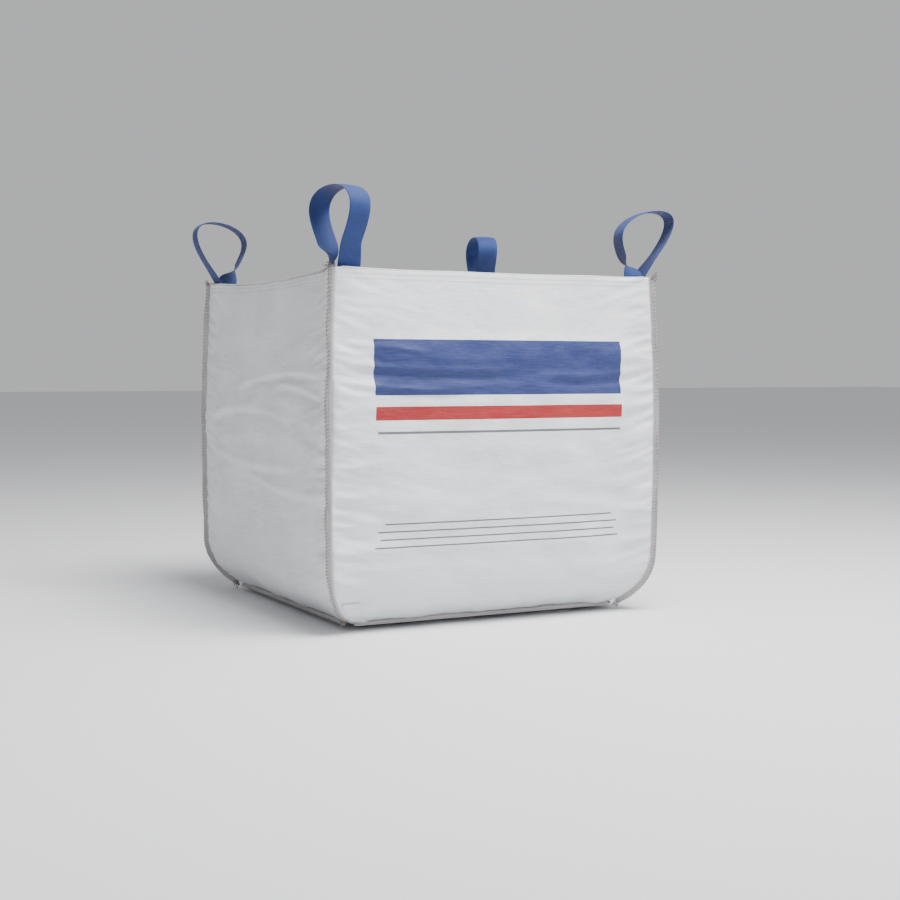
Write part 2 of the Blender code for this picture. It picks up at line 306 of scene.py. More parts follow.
def math_node(tree, operation, first, second=None, third=None):
    node = tree.nodes.new("ShaderNodeMath")
    node.operation = operation
    for socket, value in zip(node.inputs, (first, second, third)):
        if value is None:
            continue
        if isinstance(value, bpy.types.NodeSocket):
            tree.links.new(value, socket)
        else:
            socket.default_value = value
    return node.outputs[0]


def mix_colours(tree, factor, first, second):
    node = tree.nodes.new("ShaderNodeMix")
    node.data_type = "RGBA"
    sockets = [s for s in node.inputs if s.type == "RGBA"]
    for socket, value in ((node.inputs[0], factor), (sockets[0], first), (sockets[1], second)):
        if isinstance(value, bpy.types.NodeSocket):
            tree.links.new(value, socket)
        else:
            socket.default_value = value
    return [s for s in node.outputs if s.type == "RGBA"][0]


def cloth_places(tree):
    """The place on the cloth, in metres, as sockets (along, up, inner face) and as a vector."""
    place = add_node(tree, "ShaderNodeAttribute", {"attribute_name": "cloth"})
    split = add_node(tree, "ShaderNodeSeparateXYZ", Vector=place.outputs["Vector"])
    return split.outputs["X"], split.outputs["Y"], split.outputs["Z"], place.outputs["Vector"]


def plain_weave(tree, along, up, tape):
    """Height of a plain weave of flat tapes, from 0 to 1."""
    x = math_node(tree, "MULTIPLY", along, math.pi / tape)
    y = math_node(tree, "MULTIPLY", up, math.pi / tape)
    warp = math_node(tree, "ABSOLUTE", math_node(tree, "SINE", x))
    weft = math_node(tree, "ABSOLUTE", math_node(tree, "SINE", y))
    cell_x = math_node(tree, "FLOOR", math_node(tree, "DIVIDE", along, tape))
    cell_y = math_node(tree, "FLOOR", math_node(tree, "DIVIDE", up, tape))
    odd = math_node(tree, "FLOORED_MODULO", math_node(tree, "ADD", cell_x, cell_y), 2.0)
    over = math_node(tree, "MULTIPLY", math_node(tree, "POWER", warp, 0.4), odd)
    even = math_node(tree, "SUBTRACT", 1.0, odd)
    under = math_node(tree, "MULTIPLY", math_node(tree, "POWER", weft, 0.4), even)
    return math_node(tree, "ADD", over, under), odd


def woven_fabric(name, prints=(), dark=(0.66, 0.675, 0.71), pale=(0.84, 0.85, 0.87)):
    """White woven polypropylene tape, with printed bands as (colour, x middle, x half, z middle, z half)."""
    made, tree, shader = node_material(name, (0.80, 0.81, 0.84), 0.55, sheen=0.04, specular=0.35)
    along, up, inner, vector = cloth_places(tree)
    weave, odd = plain_weave(tree, along, up, 0.0028)
    streaks = add_node(tree, "ShaderNodeVectorMath", {"operation": "MULTIPLY"})
    tree.links.new(vector, streaks.inputs[0])
    streaks.inputs[1].default_value = (14.0, 260.0, 1.0)
    tapes = add_node(tree, "ShaderNodeTexNoise", Vector=streaks.outputs[0], Scale=1.0, Detail=2.0)
    soft = add_node(tree, "ShaderNodeTexNoise", Vector=vector, Scale=7.0, Detail=5.0)
    tone = math_node(tree, "MULTIPLY", math_node(tree, "ADD", tapes.outputs[0], soft.outputs[0]), 0.5)
    ramp = add_node(tree, "ShaderNodeValToRGB", Fac=tone)
    ramp.color_ramp.elements[0].position = 0.30
    ramp.color_ramp.elements[0].color = (*dark, 1)
    ramp.color_ramp.elements[1].position = 0.66
    ramp.color_ramp.elements[1].color = (*pale, 1)
    colour = mix_colours(tree, math_node(tree, "MULTIPLY", odd, 0.10), ramp.outputs[0], (*dark, 1))
    position = add_node(tree, "ShaderNodeTexCoord").outputs["Object"]
    place = add_node(tree, "ShaderNodeSeparateXYZ", Vector=position)
    # Painted shade: below 0.13 m the cloth's colour is mixed towards grey (0.42, 0.41, 0.40), more so lower
    # down and mottled by noise, standing in for the shade low on the bag
    painted_bottom_shade = math_node(tree, "MULTIPLY", math_node(tree, "SUBTRACT", 0.13, place.outputs["Z"]), 4.0)
    painted_bottom_shade = math_node(tree, "MULTIPLY", math_node(tree, "MAXIMUM", painted_bottom_shade, 0.0), soft.outputs[0])
    colour = mix_colours(tree, math_node(tree, "MINIMUM", painted_bottom_shade, 0.6), colour, (0.42, 0.41, 0.40, 1))
    ink_wear = add_node(tree, "ShaderNodeTexNoise", Vector=streaks.outputs[0], Scale=1.5, Detail=3.0)
    for ink, x, x_half, z, z_half in prints:
        inside = math_node(tree, "MULTIPLY", math_node(tree, "COMPARE", place.outputs["X"], x, x_half),
                           math_node(tree, "COMPARE", place.outputs["Z"], z, z_half))
        inside = math_node(tree, "MULTIPLY", inside, math_node(tree, "LESS_THAN", inner, 0.5))
        cover = math_node(tree, "SUBTRACT", 1.02, math_node(tree, "MULTIPLY", ink_wear.outputs[0], 0.10))
        cover = math_node(tree, "MINIMUM", cover, 1.0)
        colour = mix_colours(tree, math_node(tree, "MULTIPLY", inside, cover), colour, (*ink, 1.0))
    tree.links.new(colour, shader.inputs["Base Color"])
    rough = math_node(tree, "ADD", 0.42, math_node(tree, "MULTIPLY", soft.outputs[0], 0.26))
    tree.links.new(rough, shader.inputs["Roughness"])
    fine = add_node(tree, "ShaderNodeTexNoise", Vector=vector, Scale=38.0, Detail=6.0)
    first = add_node(tree, "ShaderNodeBump", Strength=0.5, Distance=0.005, Height=fine.outputs[0])
    second = add_node(tree, "ShaderNodeBump", Strength=0.45, Distance=0.0004, Height=weave)
    tree.links.new(first.outputs[0], second.inputs["Normal"])
    tree.links.new(second.outputs[0], shader.inputs["Normal"])
    return made


def webbing_material():
    """Blue polypropylene webbing: narrow ribs along it, crossed by a fine herringbone."""
    made, tree, shader = node_material("blue_webbing", (0.05, 0.12, 0.40), 0.55, sheen=0.08, specular=0.3)
    along, across, _, vector = cloth_places(tree)
    rib = math_node(tree, "SINE", math_node(tree, "MULTIPLY", across, 2 * math.pi / 0.0032))
    zigzag = math_node(tree, "PINGPONG", across, 0.0032)
    slanted = math_node(tree, "ADD", along, zigzag)
    pick = math_node(tree, "SINE", math_node(tree, "MULTIPLY", slanted, 2 * math.pi / 0.0022))
    ribs = math_node(tree, "MULTIPLY", rib, 0.6)
    height = math_node(tree, "ADD", ribs, math_node(tree, "MULTIPLY", pick, 0.4))
    soft = add_node(tree, "ShaderNodeTexNoise", Vector=vector, Scale=22.0, Detail=5.0)
    mottle = math_node(tree, "MULTIPLY", soft.outputs[0], 0.7)
    tone = math_node(tree, "ADD", math_node(tree, "MULTIPLY", height, 0.22), mottle)
    ramp = add_node(tree, "ShaderNodeValToRGB", Fac=tone)
    ramp.color_ramp.elements[0].position = 0.25
    ramp.color_ramp.elements[0].color = (0.008, 0.026, 0.130, 1)
    ramp.color_ramp.elements[1].position = 0.75
    ramp.color_ramp.elements[1].color = (0.020, 0.062, 0.260, 1)
    tree.links.new(ramp.outputs[0], shader.inputs["Base Color"])
    rough = math_node(tree, "ADD", 0.45, math_node(tree, "MULTIPLY", soft.outputs[0], 0.25))
    tree.links.new(rough, shader.inputs["Roughness"])
    bump = add_node(tree, "ShaderNodeBump", Strength=0.6, Distance=0.0006, Height=height)
    tree.links.new(bump.outputs[0], shader.inputs["Normal"])
    return made


def thread_material(name, colour):
    made, tree, shader = node_material(name, colour, 0.7, sheen=0.3)
    place = add_node(tree, "ShaderNodeTexCoord").outputs["Object"]
    settings = {"bands_direction": "DIAGONAL"}
    twist = add_node(tree, "ShaderNodeTexWave", settings, Vector=place, Scale=420.0, Distortion=1.5)
    ramp = add_node(tree, "ShaderNodeValToRGB", Fac=twist.outputs[1])
    ramp.color_ramp.elements[0].color = (*[c * 0.6 for c in colour], 1)
    ramp.color_ramp.elements[1].color = (*[min(1, c * 1.25) for c in colour], 1)
    tree.links.new(ramp.outputs[0], shader.inputs["Base Color"])
    bump = add_node(tree, "ShaderNodeBump", Strength=0.5, Distance=0.0003, Height=twist.outputs[1])
    tree.links.new(bump.outputs[0], shader.inputs["Normal"])
    return made


def sand_material():
    made, tree, shader = node_material("sand", (0.48, 0.36, 0.22), 0.95, specular=0.25)
    place = add_node(tree, "ShaderNodeTexCoord").outputs["Object"]
    grains = add_node(tree, "ShaderNodeTexVoronoi", Vector=place, Scale=420.0)
    clumps = add_node(tree, "ShaderNodeTexNoise", Vector=place, Scale=26.0, Detail=8.0)
    tone = math_node(tree, "ADD", math_node(tree, "MULTIPLY", grains.outputs["Distance"], 0.55),
                     math_node(tree, "MULTIPLY", clumps.outputs[0], 0.6))
    ramp = add_node(tree, "ShaderNodeValToRGB", Fac=tone)
    ramp.color_ramp.elements[0].position = 0.25
    ramp.color_ramp.elements[0].color = (0.25, 0.17, 0.09, 1)
    ramp.color_ramp.elements[1].position = 0.85
    ramp.color_ramp.elements[1].color = (0.62, 0.48, 0.31, 1)
    tree.links.new(ramp.outputs[0], shader.inputs["Base Color"])
    bump = add_node(tree, "ShaderNodeBump", Strength=0.8, Distance=0.002, Height=tone)
    tree.links.new(bump.outputs[0], shader.inputs["Normal"])
    return made


# ---------------------------------------------------------------- fabric panels

def fold_lines(x, z, lines):
    """Single folds: each as (x from, z from, x to, z to, dip, width, height)."""
    total = np.zeros_like(x)
    for x0, z0, x1, z1, dip, width, height in lines:
        t = (x - x0) / (x1 - x0)
        inside = smooth(-0.02, 0.15, t) * (1 - smooth(0.75, 1.05, t))
        middle = z0 + (z1 - z0) * t - dip * 4 * t * (1 - t)
        offset = (z - middle) / width
        total += height * inside * (np.exp(-offset * offset) - 0.6 * np.exp(-((offset + 1.6) ** 2)))
    return total


FOLDS = {
    "front": [(-0.44, 0.655, 0.05, 0.640, 0.010, 0.010, 0.0032),
              (-0.44, 0.610, -0.12, 0.585, 0.006, 0.008, 0.0028),
              (-0.44, 0.700, -0.20, 0.676, -0.006, 0.008, 0.0024),
              (0.43, 0.640, 0.08, 0.628, 0.012, 0.010, 0.0026)],
    "right": [(-0.42, 0.640, 0.10, 0.650, 0.020, 0.011, 0.0034),
              (0.43, 0.575, 0.05, 0.610, 0.015, 0.009, 0.0028)],
    "back": [(-0.43, 0.650, 0.10, 0.630, 0.015, 0.010, 0.0032),
             (0.43, 0.590, 0.02, 0.640, 0.020, 0.009, 0.0030)],
    "left": [(0.44, 0.622, -0.15, 0.590, -0.026, 0.010, 0.0042),
             (0.44, 0.560, 0.10, 0.600, -0.018, 0.009, 0.0034),
             (-0.42, 0.500, 0.20, 0.520, -0.030, 0.011, 0.0032),
             (-0.40, 0.420, 0.30, 0.400, 0.018, 0.012, 0.0030),
             (0.43, 0.330, -0.10, 0.370, 0.012, 0.011, 0.0026)],
}


def wrinkles(x, z, half, side, seed):
    """How far the loaded fabric stands out of, or sinks into, its smooth shape."""
    from_seam = half - np.abs(x)
    held = 1 - np.exp(-from_seam / 0.010)
    filled = 1 - smooth(FILL_HEIGHT, FILL_HEIGHT + 0.05, z)
    slant = z + 0.22 * from_seam
    bend = 0.012 * noise(x * 3, z * 3, seed + 9)
    hand = np.where(x > 0, 40.0, 0.0)
    puckers = ridges((slant + bend) * 30 + hand, from_seam * 5 + hand, seed) * np.exp(-from_seam / 0.085)
    fine = noise(slant * 75 + hand, from_seam * 9, seed + 1) * np.exp(-from_seam / 0.050)
    long_folds = ridges(x * 1.7 + 11, (z + bend) * 15, seed + 2)
    broad = noise(x * 4.2 + 5, z * 4.8, seed + 3)
    small = noise(x * 13, z * 17, seed + 4)
    skirt = noise(x * 5.5, z * 2.2 + 3, seed + 5) * smooth(FILL_HEIGHT, RIM_HEIGHT, z)
    gathers = noise(x * 26, z * 6, seed + 6) * (1 - smooth(0.04, 0.16, z))
    out = 0.0130 * puckers + 0.0038 * fine
    out += filled * (0.0085 * long_folds * np.exp(-from_seam / 0.5) + 0.0085 * broad + 0.0030 * small)
    out += (1 - filled) * (0.0030 * broad + 0.0006 * small)
    out -= 0.0050 * (1 - filled) * smooth(0.0, 0.10, from_seam)
    out += 0.0080 * skirt + 0.0030 * gathers
    out += 1.5 * fold_lines(x, z, FOLDS[side])
    return out * held * smooth(0.0, 0.035, z)


def wall_rows():
    """Heights of the grid's rows, evenly spaced along the cloth, and each row's place on it."""
    arc = BASE_RADIUS * (math.pi / 2 - BASE_SEAM)
    reach = np.linspace(0, arc + RIM_HEIGHT - BASE_RADIUS, BLOCK + 1)
    angle = BASE_SEAM + np.minimum(reach, arc) / BASE_RADIUS
    return np.where(reach < arc, BASE_RADIUS * (1 - np.cos(angle)), BASE_RADIUS + reach - arc), reach


def wall_surface(side_index):
    """The wrinkled outer face of a wall, as a grid of points and its place on the cloth."""
    side = SIDES[side_index]
    z, reach = wall_rows()
    u = np.linspace(-1, 1, BLOCK + 1)
    u = np.sign(u) * (1.12 * np.abs(u) - 0.12 * u * u)
    z_grid = np.repeat(z[:, None], len(u), axis=1)
    half = half_width(z_grid) - 0.0006
    x_grid = u[None, :] * half
    points = wall_points(x_grid, z_grid, 0.0, RIM_SAG[side])
    out = wrinkles(x_grid, z_grid, half, side, 20 + 11 * side_index)
    points = points + grid_normals(points) * out[..., None]
    flat = np.stack([u[None, :] * RIM_HALF + 0 * z_grid, reach[:, None] + 0 * z_grid, 0 * z_grid], axis=-1)
    return points, flat


def make_wall(side_index, finish):
    side = SIDES[side_index]
    points, flat = wall_surface(side_index)
    points = turned(points, side_index)
    panel = shell(f"{side}_panel_cloth", points, flat, CLOTH, finish)
    on_bag((panel, "woven_fabric", f"{side}_panel"))
    return points


def make_patch(wall, finish):
    """The front panel's lower left corner, folded over on itself and sewn down."""
    z = wall[:, 0, 2]
    rows = (z > 0.016) & (z < 0.078)
    columns = (wall[BLOCK // 2, :, 0] > -0.450) & (wall[BLOCK // 2, :, 0] < -0.396)
    piece = wall[np.ix_(rows, columns)]
    piece = piece + grid_normals(piece) * 0.0020
    patch = shell("front_left_corner_patch", piece, piece[..., [0, 2, 1]], CLOTH, finish)
    on_bag((patch, "woven_fabric", None))


def make_hem(side_index, wall, finish, thread):
    """The turned-in top edge: a second layer inside, a rolled lip, and stitches through both."""
    side = SIDES[side_index]
    rows = [i for i in range(len(wall)) if wall[i, 0, 2] > RIM_HEIGHT - HEM_HEIGHT]
    band = wall[rows[0]:, 3:-3]
    normal = grid_normals(band)
    inside = band - normal * (CLOTH + 0.0006)
    x, z = np.meshgrid(np.linspace(0, HEM_LENGTH, inside.shape[1]), np.linspace(0, HEM_HEIGHT, len(inside)))
    flat = np.stack([x, z, 0 * x], axis=-1)
    hem = shell(f"{side}_hem_cloth", inside, flat, CLOTH, finish)
    lip = band[-1] - normal[-1] * (CLOTH + 0.0003)
    points, faces = tube_rings(lip, 0.0019, 10)
    rolled = mesh_piece(f"{side}_hem_lip", points, faces, finish)
    cloth_coordinates(rolled, points)
    turns = int(HEM_LENGTH / HEM_OVERLOCK_PITCH)
    count = turns * TURN_STEPS + 1
    phase = 2 * math.pi * turns * np.linspace(0, 1, count)
    wrap = finer(lip, count) + finer(normal[-1], count) * (0.0026 * np.cos(phase))[:, None]
    wrap[:, 2] += 0.0034 * np.sin(phase) - 0.0010
    edge = mesh_piece(f"{side}_hem_overlock", *tube_rings(wrap, 0.00055, 5), thread)
    parts = []
    for drop in (0.014, 0.024):
        row = int(np.argmin(np.abs(band[:, 0, 2] - (RIM_HEIGHT - drop))))
        parts.append(stitches(band[row], normal[row], pitch=0.0085, share=0.62, radius=0.00045))
    rows_sewn = mesh_piece(f"{side}_hem_stitches", *joined(parts), thread)
    on_bag((hem, "woven_fabric", f"{side}_top_hem"), (rolled, "woven_fabric", None),
           (edge, "seam_thread", f"{side}_hem_thread"), (rows_sewn, "seam_thread", None))


# ---------------------------------------------------------------- seams

def corner_path(offset, count):
    """The corner's line in its diagonal plane as (distance, height), with its outward direction."""
    t = np.linspace(0, 1, count)
    z = FIN_FOOT + (RIM_HEIGHT - FIN_FOOT) * t**1.15
    line = np.stack([math.sqrt(2) * half_width(z), z], axis=-1)
    along = np.gradient(line, axis=0)
    along /= np.linalg.norm(along, axis=1, keepdims=True)
    out = np.stack([along[:, 1], -along[:, 0]], axis=-1)
    return line + out * offset, out


def on_diagonal(plane, sideways, corner_index):
    """Points of the corner's diagonal plane, moved sideways out of it, in the bag's frame."""
    angle = math.radians(90 * corner_index - 45)
    distance, height = plane[..., 0], plane[..., 1]
    x = distance * math.cos(angle) - sideways * math.sin(angle)
    y = distance * math.sin(angle) + sideways * math.cos(angle)
    return np.stack([x, y, height], axis=-1)


def make_corner_seam(corner_index, finish, thread):
    """The two panels' edges sewn back to back: a wavy fin, its lockstitch and its overlocked edge."""
    corner = CORNERS[corner_index]
    count = 420
    widths = np.linspace(-FIN_ROOT, FIN_WIDTH, 9)
    t = np.linspace(0, 1, count)
    height = t * 28
    seed = 70 + corner_index

    def wave(share):
        slow = 0.0042 * noise(height * 0.35, 0 * t + 2.5, seed)
        quick = 0.0016 * noise(height * 1.6, 0 * t + 7.5, seed)
        return (slow + quick) * share

    fold = math.radians(FIN_FOLD_DEG[corner])

    def folded(width):
        """How far out, and how far sideways, the allowance is at this width."""
        return width * math.cos(fold), width * math.sin(fold)

    rows, flat = [], []
    for width in widths:
        outwards, aside = folded(max(width, 0.0))
        line, _ = corner_path(outwards + min(width, 0.0), count)
        share = max(0.0, width / FIN_WIDTH) ** 1.3
        rows.append(on_diagonal(line, aside + wave(share) + 0.0011, corner_index))
        flat.append(np.stack([0 * t + width, t * 0.8, 0 * t], axis=-1))
    fin = shell(f"{corner}_seam_fin", np.array(rows), np.array(flat), FIN_LAYERS, finish)

    outwards, aside = folded(FIN_WIDTH - 0.0028)
    edge, out = corner_path(outwards, count)
    centre = on_diagonal(edge, aside + wave(0.9), corner_index)
    further = folded(0.001)
    ahead = on_diagonal(edge + out * further[0], aside + further[1] + wave(0.9), corner_index) - centre
    ahead /= np.linalg.norm(ahead, axis=1, keepdims=True)
    upwards = np.gradient(centre, axis=0)
    upwards /= np.linalg.norm(upwards, axis=1, keepdims=True)
    across = np.cross(upwards, ahead)
    turns = int(0.82 / OVERLOCK_PITCH)
    steps = turns * TURN_STEPS + 1
    phase = 2 * math.pi * turns * np.linspace(0, 1, steps)[:, None]
    wrap = finer(centre, steps) + finer(ahead, steps) * (0.0036 * np.cos(phase))
    wrap = wrap + finer(across, steps) * (0.0020 * np.sin(phase))
    overlock = mesh_piece(f"{corner}_overlock", *tube_rings(wrap, 0.00075, 6), thread)

    outwards, aside = folded(0.0055)
    lock, _ = corner_path(outwards, count)
    parts = []
    for sign in (1, -1):
        path = on_diagonal(lock, aside + wave(0.2), corner_index) + across * sign * 0.0012
        parts.append(stitches(path, across * sign, pitch=0.0090, share=0.6, radius=0.0005))
    for row, rise in ((0, -0.8), (count - 1, 0.4)):
        parts.append(loose_ends(centre[row], ahead[row] + [0, 0, rise], seed + row))
    sewn = mesh_piece(f"{corner}_lockstitch", *joined(parts), thread)
    on_bag((fin, "seam_fabric", f"{corner}_seam"), (overlock, "seam_thread", f"{corner}_seam_thread"),
           (sewn, "seam_thread", None))


def loose_ends(start, away, seed):
    """A few short ends of thread, knotted together where a seam ends."""
    rng = np.random.default_rng(seed)
    away = np.array(away) / np.linalg.norm(away)
    parts = []
    for _ in range(7):
        length = rng.uniform(0.012, 0.026)
        t = np.linspace(0, 1, 16)[:, None]
        swing = rng.normal(0, 0.0045, 3)
        curl = rng.normal(0, 0.0035, 3)
        straight = start - away * 0.006 + away * length * t * 0.6
        path = straight + swing * np.sin(2.4 * t) + curl * np.sin(6.5 * t)
        parts.append(tube_rings(path, 0.0008, 6))
    return joined(parts)


def make_base_seam(side_index, finish, thread):
    """The seam allowance between a wall and the base, square to the rounding."""
    side = SIDES[side_index]
    z = BASE_RADIUS * (1 - math.cos(BASE_SEAM))
    half = float(half_width(np.array(z)))
    x = np.linspace(-(half - 0.014), half - 0.014, 260)
    sway = 0.0007 * noise(x * 30, 0 * x, 130 + side_index)
    rows, flat = [], []
    for width in np.linspace(0.0004, BASE_FIN_WIDTH, 5):
        y = -(half + width * math.sin(BASE_SEAM)) - sway * math.cos(BASE_SEAM)
        rows.append(np.stack([x, y, z - width * math.cos(BASE_SEAM) + sway * math.sin(BASE_SEAM)], axis=-1))
        flat.append(np.stack([x, 0 * x + width, 0 * x], axis=-1))
    half_thick = BASE_FIN_THICK / 2
    shift = np.array([0, -half_thick * math.cos(BASE_SEAM), -half_thick * math.sin(BASE_SEAM)])
    grid = turned(np.array(rows)[::-1] + shift, side_index)
    fin = shell(f"{side}_base_seam_fin", grid, np.array(flat)[::-1], BASE_FIN_THICK, finish)
    turns = int(2 * half / OVERLOCK_PITCH)
    t = np.linspace(0, 1, turns * TURN_STEPS + 1)
    phase = 2 * math.pi * turns * t
    reach = 0.0090 + 0.0026 * np.cos(phase)
    lift = 0.0017 * np.sin(phase)
    path = np.stack([(2 * t - 1) * (half - 0.016),
                     -(half + reach * math.sin(BASE_SEAM)) - lift * math.cos(BASE_SEAM),
                     z - reach * math.cos(BASE_SEAM) + lift * math.sin(BASE_SEAM)], axis=-1)
    sewn = mesh_piece(f"{side}_base_overlock", *tube_rings(turned(path, side_index), 0.0006, 5), thread)
    on_bag((fin, "seam_fabric", f"{side}_base_seam"), (sewn, "seam_thread", None))


def make_base(finish):
    """The base panel: flat in the middle, its edges curling up to the base seams."""
    flat_half = float(corner_half(np.array(0.0))) - BASE_RADIUS
    s = np.linspace(-1, 1, 91)
    reach = np.abs(s) * (flat_half + BASE_RADIUS * BASE_SEAM)
    angle = np.maximum(reach - flat_half, 0) / BASE_RADIUS
    place = np.sign(s) * (np.minimum(reach, flat_half) + BASE_RADIUS * np.sin(angle))
    x, y = np.meshgrid(-place, place)
    steep = np.maximum(*np.meshgrid(angle, angle))
    z = BASE_RADIUS * (1 - np.cos(steep))
    points = np.stack([x, y, z], axis=-1)
    base = shell("base_panel_cloth", points, np.stack([x, y, 0 * x], axis=-1), CLOTH, finish)
    on_bag((base, "woven_fabric", "base_panel"))


# ---------------------------------------------------------------- webbing loops

def eye_direction(corner):
    yaw = math.radians(LOOP_YAW_DEG[corner])
    return np.array([math.sin(yaw), math.cos(yaw), 0.0])


def tail_section(side_index, end, drop):
    """Middle and width direction of the webbing inside a panel, drop below its top."""
    z = RIM_HEIGHT - drop
    inner = half_width(z) - TAIL_EDGE - STRAP_WIDTH / 2
    centre = wall_points(end * inner, z, TAIL_DEPTH + STRAP_THICK / 2, 0.0)
    wide = np.stack([1.0 + 0 * z, 0 * z, 0 * z], axis=-1)
    return turned(centre, side_index), turned(wide, side_index)


def loop_middle(corner, turn, pivot):
    """Points of the free loop's middle line for each turn angle, 0 at one foot and 2 pi at the other."""
    half_sine = np.sin(turn / 2)
    across = LOOP_SPREAD[corner] * np.sin(turn) * half_sine**2 + LOOP_LEG * np.cos(turn / 2)
    across = across + LOOP_LEAN[corner] * half_sine**4
    up = LOOP_HEIGHT[corner] * half_sine**2
    up = up + LOOP_SKEW[corner] * across * smooth(0.35, 1.0, half_sine**2)
    eye = eye_direction(corner)
    sideways = np.array([eye[1], -eye[0], 0.0])
    return pivot + across[:, None] * sideways + up[:, None] * np.array([0, 0, 1.0])


def smoothed(values, passes):
    for _ in range(passes):
        inner = 0.25 * values[:-2] + 0.5 * values[1:-1] + 0.25 * values[2:]
        values = np.concatenate([values[:1], inner, values[-1:]])
    return values


def strap_path(corner_index, pivot):
    """The whole webbing, sewn end to sewn end: middles and width directions."""
    corner = CORNERS[corner_index]
    eye = eye_direction(corner)
    ends = []
    for side_index, end in ((corner_index, 1), ((corner_index + 1) % 4, -1)):
        centre, wide = tail_section(side_index, end, np.linspace(TAIL_LENGTH, 0.0, TAIL_ROWS))
        if wide[0] @ eye < 0:
            wide = -wide
        ends.append((centre, wide))
    sideways = np.array([eye[1], -eye[0], 0.0])
    if (ends[0][0][-1] - ends[1][0][-1]) @ sideways < 0:
        ends.reverse()
    first = 2 * math.asin(math.sqrt(FOOT_HEIGHT * 1.15 / LOOP_HEIGHT[corner]))
    turn = np.linspace(first, 2 * math.pi - first, 180)
    free = loop_middle(corner, turn, pivot)
    legs = []
    for (centre, wide), top in ((ends[0], free[0]), (ends[1], free[-1])):
        t = np.linspace(0, 1, 32)[1:-1, None]
        twist = smooth(0, 1, t)
        legs.append((centre[-1] * (1 - t) + top * t, wide[-1] * (1 - twist) + eye * twist))
    centres = np.concatenate([ends[0][0], legs[0][0], free, legs[1][0][::-1], ends[1][0][::-1]])
    wides = np.concatenate([ends[0][1], legs[0][1], np.repeat(eye[None], len(turn), axis=0),
                            legs[1][1][::-1], ends[1][1][::-1]])
    centres[50:-50] = smoothed(centres, 30)[50:-50]
    wides = smoothed(wides, 14)
    return centres, wides / np.linalg.norm(wides, axis=1, keepdims=True)


def box_stitches(middle, wide, face):
    """A box with a cross in it, sewn through a flat stretch of webbing."""
    surface = middle + face * STRAP_THICK / 2
    half = BOX_REACH * STRAP_WIDTH / 2
    slope = np.linspace(-1, 1, len(middle))[:, None]
    parts = [stitches(surface + wide * side * half, face, **BOX_STITCH) for side in (-1, 1)]
    parts += [stitches(surface + wide * side * slope * half, face, **BOX_STITCH) for side in (1, -1)]
    for row in (0, -1):
        line = surface[row] + wide[row] * np.linspace(-half, half, 12)[:, None]
        parts.append(stitches(line, np.repeat(face[row][None], 12, axis=0), **BOX_STITCH))
    return parts


def make_loop(corner_index, finish, thread):
    """One band of webbing: sewn end, foot, free loop, foot and sewn end."""
    corner = CORNERS[corner_index]
    joint = next(j for j in frame["joints"] if j["name"] == f"{corner}_loop_tip")
    pivot = np.array(joint["pos_m"])
    centres, wides = strap_path(corner_index, pivot)
    along = np.gradient(centres, axis=0)
    along /= np.linalg.norm(along, axis=1, keepdims=True)
    wides = wides - along * np.sum(wides * along, axis=1, keepdims=True)
    wides /= np.linalg.norm(wides, axis=1, keepdims=True)
    thins = np.cross(along, wides)
    reach = np.concatenate([[0], np.cumsum(np.linalg.norm(np.diff(centres, axis=0), axis=1))])
    columns = np.linspace(-1, 1, STRAP_COLUMNS)
    edge = np.sqrt(np.clip(1 - np.abs(columns) ** 18, 0, 1)) * 0.82 + 0.18
    cup = 0.0016 * (columns**2 - 0.4)
    ring = []
    for side in (1, -1):
        for k in range(STRAP_COLUMNS)[::side]:
            ring.append((columns[k] * STRAP_WIDTH / 2, side * STRAP_THICK / 2 * edge[k], cup[k]))
    order = np.arange(len(centres))
    free = smooth(70, 120, order) * smooth(70, 120, order[::-1])
    rows = [centres + wides * w + thins * (n + c * free)[:, None] for w, n, c in ring]
    points = np.stack(rows, axis=1)
    count, around = points.shape[:2]
    index = np.arange(count * around).reshape(count, around)
    a, b = index[:-1], np.roll(index[:-1], -1, axis=1)
    c, d = np.roll(index[1:], -1, axis=1), index[1:]
    faces = np.stack([d, c, b, a], axis=-1).reshape(-1, 4).tolist()
    faces.append(index[0].tolist())
    faces.append(index[-1, ::-1].tolist())
    strap = mesh_piece(f"{corner}_loop_webbing", points.reshape(-1, 3), faces, finish)
    flat = [np.stack([reach, np.full(count, w), np.zeros(count)], axis=-1) for w, _, _ in ring]
    cloth_coordinates(strap, np.stack(flat, axis=1).reshape(-1, 3))
    sides = (SIDES[corner_index], SIDES[(corner_index + 1) % 4])
    nodes = [f"{corner}_lifting_loop"]
    nodes += [f"{corner}_loop_{part}_{side}" for part in ("tail", "foot") for side in sides]
    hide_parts(*nodes)
    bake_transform(strap)

    parts = []
    for rows in (slice(4, 56), slice(-57, -5)):
        face = thins[rows] * -np.sign(thins[rows][0] @ centres[rows][0])
        parts += box_stitches(centres[rows], wides[rows], face)
    sewn = mesh_piece(f"{corner}_loop_stitches", *joined(parts), thread)
    on_bag((sewn, "seam_thread", None))


# ---------------------------------------------------------------- sand

def make_sand(finish):
    """The load's rough top, as a slab that stops short below it, where the walls hide it."""
    s = np.linspace(-1, 1, 181)
    u, v = np.meshgrid(s, s)
    half = float(corner_half(np.array(FILL_HEIGHT))) - 0.0085
    bow = 0.01575  # how far the walls' bulge lets the middle of each side out
    x = u * (half + bow * (1 - v * v))
    y = v * (half + bow * (1 - u * u))
    far = np.maximum(np.abs(u), np.abs(v))
    z = FILL_HEIGHT + FILL_HEAP * 0.80 * (1 - far**2)
    z = z + 0.008 * noise(x * 6, y * 6, 301) + 0.004 * noise(x * 17, y * 17, 302)
    z = z + 0.0016 * noise(x * 60, y * 60, 303) + 0.0009 * noise(x * 130, y * 130, 304)
    z = z - 0.004 * smooth(0.9, 1.0, far)
    top = np.stack([x, y, z], axis=-1)
    load = shell("sand_load", top, np.stack([x, y, 0 * x], axis=-1), 0.030, finish)
    on_bag((load, "sand", "sand_fill"))


# ---------------------------------------------------------------- studio

